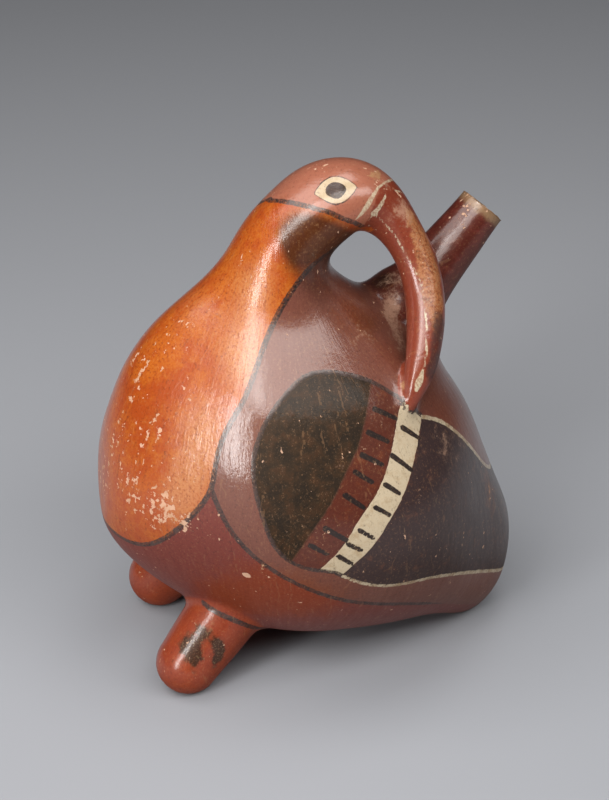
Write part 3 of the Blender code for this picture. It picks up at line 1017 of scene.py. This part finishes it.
slipColours = {
    "body": "65372a", "bodyWarm": "753616", "bodyMauve": "683d32", "belly": "6a2c24",
    "bellyWarm": "74290a", "breast": "aa5818", "breastDeep": "983e12", "breastDark": "5b2a0f",
    "breastPale": "b4784a", "head": "935844", "bill": "763120", "billWear": "9c6540",
    "spout": "4d1d16", "foot": "80331d", "olive": "2b1c0d", "oliveDark": "140d07",
    "oliveRust": "341b0b", "redBand": "4f2319", "cream": "b6a58a", "eyeCream": "b09a7c",
    "creamAged": "967d5b", "tip": "352727", "tipWorn": "533429", "ink": "211a1a",
    "inkFaded": "413330", "pupil": "3c3231", "pupilShade": "291b15", "fleck": "c79f84",
    "buffClay": "9e7551", "smoke": "1f120b", "rawClay": "673c26", "rimClay": "82664a",
}

# Noises: fire clouds, burnishing strokes, grains and brush wobble. Size in mm, detail,
# roughness, and where it is read: in the clay itself or along the strokes.
slipNoises = {
    "cloud": (26.0, 2.0, 0.55, "clay"),
    "mottle": (4.5, 4.0, 0.65, "clay"),
    "stroke": (1.0, 3.0, 0.6, "strokes"),
    "wideStroke": (6.0, 2.0, 0.55, "strokes"),
    "grain": (0.7, 2.0, 0.55, "clay"),
    "speck": (0.9, 4.0, 0.75, "clay"),
    "hairline": (4.5, 1.0, 0.6, "strokes"),
    "wobble": (2.2, 2.0, 0.55, "clay"),
    "blotch": (8.0, 1.0, 0.5, "clay"),
    "flake": (2.2, 3.5, 0.62, "clay"),
    "longFlake": (1.9, 2.0, 0.6, "strokes"),
}
ridgedNoises = ("hairline",)

# first pattern x share + second pattern or measure
slipMixes = {
    "fired": ("mottle", 0.9, "warmth"), "scorchedAndShaded": ("mottle", 0.4, "smoke"),
    "polishedAndSheen": ("stroke", 0.6, "thinSlip"), "clouded": ("mottle", 1.4, "cloud"),
    "crumbled": ("mottle", 0.5, "grain"), "rubbedClay": ("mottle", 2.0, "rubbed"),
    "handling": ("speck", 0.9, "mottle"), "handled": ("handling", 1.0, "billWear"),
    "filmedAndSheen": ("handling", 2.2, "dusty"), "grainy": ("mottle", 1.2, "speck"),
    "rimWear": ("mottle", 5.0, "fromRim"), "dabbed": ("mottle", 1.4, "smudge"),
    "ragged": ("mottle", 0.9, "chips"), "flakes": ("longFlake", 0.45, "flake"),
    "flakeSpread": ("blotch", 0.5, "scuff"), "flaking": ("flakeSpread", 0.18, "flakes"),
    "scratched": ("flake", 0.6, "hairline"), "speckled": ("stroke", 0.2, "speck"),
    "crumbs": ("scuff", 0.22, "speck"),
}

# The coats in the order they were laid. on is the measure that is positive inside the coat,
# edge the two values of it between which the coat comes in, wobble the share of brush wobble;
# through is the pattern by which the coat is worn thin, its range and what is left there;
# mixed holds second colours, each with its pattern, the pattern's range and its most. on and
# paint are the coat's own name where they aren't given.
usualCoat = {"edge": (-0.14, 0.14), "most": 1.0, "wobble": 1.0, "through": None, "mixed": ()}
slipCoats = {
    "ground": {"paint": "body", "mixed": (
        ("bodyMauve", "cloud", 0.35, 0.65, 1.0), ("bodyWarm", "fired", 0.6, 1.4, 0.75))},
    "belly": {"edge": (-0.5, 0.5), "mixed": (("bellyWarm", "fired", 0.5, 1.2, 1.0),)},
    # The pale streaks on the breast are partly painted sheen along the breast's edge, where the
    # highlight band runs.
    "breast": {"paint": "breastDeep", "edge": (-0.3, 0.3), "mixed": (
        ("breast", "clouded", 0.9, 1.5, 1.0), ("breastPale", "polishedAndSheen", 0.4, 1.3, 0.85),
        ("breastDeep", "speckled", 0.5, 0.75, 0.6), ("breastDark", "stroke", 0.55, 0.85, 0.4))},
    "head": {"edge": (-0.25, 0.25), "mixed": (
        ("bill", "bill", -0.5, 0.5, 1.0), ("bodyWarm", "mottle", 0.52, 0.8, 0.5))},
    "spout": {"edge": (-1.2, 1.2), "mixed": (("belly", "mottle", 0.45, 0.7, 0.5),)},
    "leg": {"paint": "foot", "edge": (-1.2, 1.2), "mixed": (
        ("breastDeep", "mottle", 0.4, 0.7, 0.3),)},
    # Smoke and painted shade: firing clouds, and darkening under the chin, beneath the bill and in
    # the saddle below the loop.
    "smoke": {"on": "scorchedAndShaded", "edge": (0.2, 1.35), "most": 0.85, "wobble": 0.0},
    "smudge": {"on": "dabbed", "paint": "smoke", "edge": (0.92, 1.3), "most": 0.92, "wobble": 0.3,
     "mixed": (("creamAged", "speckled", 0.6, 0.8, 0.6),)},
    "redBand": {"mixed": (("bodyWarm", "mottle", 0.5, 0.8, 0.4),)},
    "olive": {"paint": "oliveDark", "edge": (-0.7, 0.7), "mixed": (
        ("olive", "grainy", 0.95, 1.3, 1.0), ("oliveRust", "mottle", 0.48, 0.7, 0.6),
        ("creamAged", "speck", 0.6, 0.72, 0.2))},
    "tip": {"on": "wingTip", "mixed": (
        ("tipWorn", "rubbedClay", 1.1, 1.5, 0.8), ("creamAged", "longFlake", 0.69, 0.76, 0.15))},
    "creamShade": {"on": "creamBand", "paint": "ink", "edge": (-0.45, -0.2), "most": 0.6,
     "wobble": 1.2, "through": ("mottle", 0.4, 0.6, 0.1)},
    "cream": {"on": "creamBand", "edge": (0.05, 0.25), "wobble": 0.6, "mixed": (
        ("creamAged", "mottle", 0.5, 0.75, 0.7), ("creamAged", "stroke", 0.55, 0.75, 0.5))},
    "ink": {"paint": "inkFaded", "edge": (-0.16, 0.16), "wobble": 0.8,
     "through": ("crumbled", 0.62, 0.95, 0.6),
     "mixed": (("ink", "mottle", 0.35, 0.6, 1.0),)},
    "ticks": {"on": "tick", "paint": "ink", "edge": (-0.18, 0.1),
     "wobble": 0.5, "through": ("crumbled", 0.8, 1.05, 0.85)},
    "creamLines": {"on": "creamLine", "paint": "cream", "wobble": 0.8,
     "through": ("crumbled", 0.62, 0.95, 0.55),
     "mixed": (("creamAged", "mottle", 0.4, 0.7, 0.9),)},
    "billWear": {"on": "handled", "edge": (1.45, 1.6), "most": 0.9, "wobble": 0.0, "mixed": (
        ("spout", "stroke", 0.55, 0.66, 0.7), ("bodyWarm", "speckled", 0.5, 0.7, 0.8),
        ("creamAged", "grain", 0.52, 0.7, 0.5))},
    # The bill's lower edge: smoked purple brown, and darker as painted shade.
    "billShade": {"paint": "tip", "edge": (0.45, 0.95), "most": 0.8, "mixed": (
        ("spout", "mottle", 0.4, 0.65, 0.7),)},
    "billMarks": {"on": "billMark", "paint": "cream", "edge": (-0.16, 0.16),
     "wobble": 1.1, "through": ("crumbled", 0.62, 0.95, 0.4)},
    "eyeRim": {"on": "eye", "paint": "ink", "edge": (-0.54, -0.3),
     "wobble": 0.9, "through": ("crumbled", 0.6, 0.9, 0.4)},
    "eyeWhite": {"on": "eye", "paint": "eyeCream", "edge": (-0.12, 0.12), "wobble": 0.4, "mixed": (
        ("creamAged", "mottle", 0.5, 0.75, 0.6),)},
    "pupilShade": {"edge": (-0.12, 0.12), "wobble": 1.1},
    "pupil": {"edge": (-0.12, 0.12), "mixed": (("inkFaded", "mottle", 0.4, 0.6, 0.7),)},
    "rubbed": {"on": "rubbedClay", "paint": "buffClay", "edge": (1.6, 1.8),
     "most": 0.75, "wobble": 0.0},
    "rim": {"on": "rimWear", "paint": "rimClay", "edge": (6.2, 3.6), "most": 0.85, "wobble": 0.0},
    # Film and painted sheen: pale earth film, and pale patches where reflections fall on the bill,
    # the saddle, the red band and the wing tip.
    "film": {"on": "filmedAndSheen", "paint": "fleck", "edge": (2.5, 3.3), "most": 0.45, "wobble": 0.0},
    "pits": {"on": "speckled", "paint": "smoke", "edge": (0.64, 0.8), "most": 0.45, "wobble": 0.0},
    "dust": {"on": "speckled", "paint": "buffClay", "edge": (0.56, 0.42),
     "most": 0.22, "wobble": 0.0},
    "scratches": {"on": "scratched", "paint": "buffClay", "edge": (1.78, 1.82),
     "most": 0.16, "wobble": 0.0},
    "flakes": {"on": "flaking", "paint": "fleck", "edge": (0.98, 1.02), "most": 0.85, "wobble": 0.0,
     "mixed": (("buffClay", "mottle", 0.45, 0.65, 0.6),)},
    "crumbs": {"paint": "fleck", "edge": (0.82, 0.88), "most": 0.7, "wobble": 0.0},
    "chips": {"on": "ragged", "paint": "fleck", "edge": (0.8, 0.92), "most": 0.9, "wobble": 0.0},
    "inside": {"paint": "rawClay", "edge": (0.3, 0.7), "wobble": 0.0, "mixed": (
        ("smoke", "mottle", 0.4, 0.8, 0.6),)},
}

# How much rougher each coat or measure leaves the burnish, and how high it lies in mm.
slipFinish = {
    "roughness": 0.24,
    "strokeRoughness": 0.22,
    "matt": {
        "cream": 0.2, "olive": 0.25, "tip": 0.08, "redBand": 0.06, "leg": 0.09, "flakes": 0.4,
        "chips": 0.4, "rubbed": 0.15, "billWear": 0.12, "billShade": 0.14, "inside": 0.5,
        "under": 0.26,
    },
    "relief": {
        "stroke": 0.045, "wideStroke": 0.09, "mottle": 0.11, "speck": 0.03, "cream": 0.03,
        "flakes": -0.06, "chips": -0.12,
    },
    "shader": {
        "Coat Roughness": 0.15, "Coat IOR": 1.5, "Specular IOR Level": 0.35,
        "Specular Tint": (1.0, 0.78, 0.62, 1.0),
    },
    "coatWeight": 0.8,          # clear shine where nothing is matt
    "coatRange": (0.02, 0.3),   # how matt it is where the shine starts to go and is gone
    "wobble": 0.35,             # mm that a painted edge strays
    # strokes: the neck's x, the radius in mm on which they are spread, the share of the
    # height that they change with, and the size and mm of their bends
    "neckAxis": -12.0,
    "spread": 45.0,
    "squeeze": 0.09,
    "bendSize": 14.0,
    "bend": 3.0,
}


def setInputs(node, values):
    for name, value in values.items():
        node.inputs[name].default_value = value


# One shader node with its input values or links in order, and its settings; gives back one
# output. A name among the values is a slip colour.
def addNode(tree, kind, *values, output=0, **settings):
    made = tree.nodes.new("ShaderNode" + kind)
    for name, value in settings.items():
        setattr(made, name, value)
    for place, value in enumerate(values):
        if isinstance(value, bpy.types.NodeSocket):
            tree.links.new(value, made.inputs[place])
        elif isinstance(value, str):
            made.inputs[place].default_value = toLinear(slipColours[value])
        elif value is not None:
            made.inputs[place].default_value = value
    return made.outputs[output]


# Earthenware under painted slips, burnished with a pebble before firing: the eye gets soft
# satin colour with fine pebble strokes, sharp-edged reflections, and matt spots where the
# slip has flaked away.
def makeSlip(name, measures):
    material = bpy.data.materials.new(name)
    material.use_nodes = True
    tree = material.node_tree
    shader = tree.nodes["Principled BSDF"]
    finish = slipFinish

    def add(kind, *values, **settings):
        return addNode(tree, kind, *values, **settings)

    def vector(operation, *values):
        return add("VectorMath", *values, operation=operation)

    def scaledSum(a, share, b):
        return add("Math", a, share, b, operation="MULTIPLY_ADD")

    def ramp(value, *ends):
        return add("MapRange", value, *ends, interpolation_type="SMOOTHSTEP")

    clayPlace = vector("SCALE", add("TexCoord", output="Object"), None, None, 1 / mm)
    # Strokes follow the meridians about the neck: the level direction from the neck's axis
    # times the spread, and the height times the squeeze, bent by a slow noise.
    level = vector("MULTIPLY_ADD", clayPlace, (1, 1, 0), (-finish["neckAxis"], 0, 0))
    bends = add("TexNoise", clayPlace, None, 1 / finish["bendSize"], output="Color")
    bent = vector("MULTIPLY", bends, (finish["bend"],) * 3)
    bent = vector("MULTIPLY_ADD", clayPlace, (0, 0, finish["squeeze"]), bent)
    strokePlace = vector("MULTIPLY_ADD", vector("NORMALIZE", level), (finish["spread"],) * 3, bent)

    pattern = {field: add("Attribute", output="Fac", attribute_name=field) for field in measures}
    for key, (size, detail, roughness, where) in slipNoises.items():
        place = strokePlace if where == "strokes" else clayPlace
        sort = "RIDGED_MULTIFRACTAL" if key in ridgedNoises else "FBM"
        pattern[key] = add(
            "TexNoise", place, None, 1 / size, detail, roughness, 2.0, 1.0, noise_type=sort)
    for key, (first, share, second) in slipMixes.items():
        pattern[key] = scaledSum(pattern[first], share, pattern[second])
    shake = add("MapRange", pattern["wobble"], 0.0, 1.0, -finish["wobble"], finish["wobble"])

    colour = None
    for coatName, given in slipCoats.items():
        coat = usualCoat | {"on": coatName, "paint": coatName} | given
        paint = coat["paint"]
        for second, key, low, high, most in coat["mixed"]:
            paint = add("MixRGB", ramp(pattern[key], low, high, 0.0, most), paint, second)
        if colour is None:
            colour = paint
            continue
        reading = scaledSum(shake, coat["wobble"], pattern[coat["on"]])
        low, high = coat["edge"]
        ends = (low, high, 0.0, coat["most"]) if low < high else (high, low, coat["most"], 0.0)
        amount = ramp(reading, *ends)
        if coat["through"]:
            key, low, high, least = coat["through"]
            left = ramp(pattern[key], low, high, 1.0, least)
            amount = add("Math", amount, left, operation="MULTIPLY")
        pattern[coatName + "Coat"] = amount
        colour = add("MixRGB", amount, colour, paint)
    tree.links.new(colour, shader.inputs["Base Color"])

    def weighed(shares):
        total = 0.0
        for key, share in shares.items():
            total = scaledSum(pattern.get(key + "Coat", pattern.get(key)), share, total)
        return total

    matt = weighed(finish["matt"])
    rough = scaledSum(pattern["stroke"], finish["strokeRoughness"], finish["roughness"])
    tree.links.new(add("Math", rough, matt, operation="ADD"), shader.inputs["Roughness"])
    shine = add("MapRange", matt, *finish["coatRange"], finish["coatWeight"], 0.0)
    tree.links.new(shine, shader.inputs["Coat Weight"])
    setInputs(shader, finish["shader"])
    bump = tree.nodes.new("ShaderNodeBump")
    bump.inputs["Distance"].default_value = mm
    tree.links.new(weighed(finish["relief"]), bump.inputs["Height"])
    for normal in ("Normal", "Coat Normal"):
        tree.links.new(bump.outputs["Normal"], shader.inputs[normal])
    return material


facingDown = -readNormals(vesselMesh)[:, 2]
vesselFields = paintedFields(readPoints(vesselMesh), facingDown)
writeFields(vesselMesh, vesselFields)
report("painted fields written")
vesselMesh.materials.clear()
vesselMesh.materials.append(makeSlip("burnishedSlipEarthenware", vesselFields))

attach(effigyVessel, "root")
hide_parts("vessel")


studio = {
    "floorReach": 6.0,
    "floorColour": "939498",
    "floorRoughness": 0.9,
    "worldColour": "8c8f94",
    "worldStrength": 0.06,
    # name, azimuth and elevation of the lamp seen from the vessel, distance, width, height, watts
    "lamps": (
        ("frontSoftbox", -83.0, 50.0, 0.9, 1.5, 0.38, 9.8),
        ("leftSoftbox", -136.0, 44.0, 0.95, 0.3, 0.4, 2.6),
        ("leftStrip", -144.0, 16.0, 0.95, 0.13, 0.48, 4.4),
        ("farLeft", -178.0, 60.0, 0.95, 0.6, 0.6, 3.9),
        ("overhead", 20.0, 80.0, 0.9, 0.4, 0.4, 2.2),
    ),
}

# Azimuths turn from +X to +Y. The distance and the aim are in vessel millimetres.
camera = {
    "azimuth": -104.2,
    "elevation": 30.0,
    "distance": 800.0,
    "lens": 94.5,
    "sensorHeight": 36.0,
    "aim": (9.5, 44.5, 70.0),
}


# Unit vector: cos a cos e, sin a cos e, sin e.
def direction(azimuth, elevation):
    a, e = math.radians(azimuth), math.radians(elevation)
    return np.array((math.cos(a) * math.cos(e), math.sin(a) * math.cos(e), math.sin(e)))


def standAt(name, data, target, away):
    thing = newObject(name, data)
    thing.location = target + away
    toTarget = Vector(target) - thing.location
    thing.rotation_euler = toTarget.to_track_quat("-Z", "Y").to_euler()
    return thing


floorMesh = bpy.data.meshes.new("floor")
reach = studio["floorReach"]
corners = [(-reach, -reach, 0), (reach, -reach, 0), (reach, reach, 0), (-reach, reach, 0)]
floorMesh.from_pydata(corners, [], [(0, 1, 2, 3)])
floor = newObject("floor", floorMesh)
paper = bpy.data.materials.new("paleStudioPaper")
paper.use_nodes = True
setInputs(paper.node_tree.nodes["Principled BSDF"], {
    "Base Color": toLinear(studio["floorColour"]), "Roughness": studio["floorRoughness"]})
floorMesh.materials.append(paper)

middle = (np.array(cadBox[0]) + np.array(cadBox[1])) / 2
for name, azimuth, elevation, distance, width, height, watts in studio["lamps"]:
    lamp = bpy.data.lights.new(name, "AREA")
    lamp.shape = "RECTANGLE"
    lamp.size, lamp.size_y, lamp.energy = width, height, watts
    standAt(name, lamp, middle, distance * direction(azimuth, elevation))

world = bpy.data.worlds.new("studio")
world.use_nodes = True
setInputs(world.node_tree.nodes["Background"], {
    "Color": toLinear(studio["worldColour"]), "Strength": studio["worldStrength"]})
scene = bpy.context.scene
scene.world = world
scene.view_settings.view_transform = "Standard"     # colours come out as their hex values

lens = bpy.data.cameras.new("camera")
lens.sensor_fit = "VERTICAL"
lens.sensor_height, lens.lens = camera["sensorHeight"], camera["lens"]
lens.dof.use_dof = False
aim = (np.array(camera["aim"]) + origin) * mm
away = direction(camera["azimuth"], camera["elevation"]) * camera["distance"] * mm
scene.camera = standAt("camera", lens, aim, away)
report("stage set")
